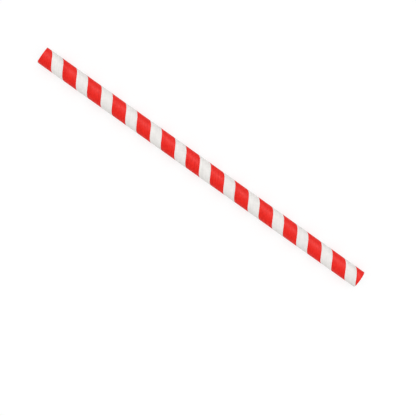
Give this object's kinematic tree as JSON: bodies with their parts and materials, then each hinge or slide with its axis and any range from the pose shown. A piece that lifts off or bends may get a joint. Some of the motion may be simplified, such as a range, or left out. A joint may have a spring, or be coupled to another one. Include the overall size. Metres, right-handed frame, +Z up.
{
  "type": "paper drinking straw",
  "caption": "Straight paper drinking straw, a spiral-wound tube cut square at both ends, with a red and white candy stripe.",
  "frame": {"origin": "on the bore's axis, at mid-length", "axes": "+X along the bore's axis, towards the head; +Z up as the straw lies on a table"},
  "size_m": [0.216, 0.01, 0.01],
  "materials": {
    "white_paper": "smooth uncoated food paper, matt, very faintly fibrous along the strip",
    "red_print": "bright red ink printed on the same paper, with a slight sheen"
  },
  "bodies": {
    "root": {"paper_tube": "white_paper", "red_stripe": "red_print"}
  },
  "joints": []
}
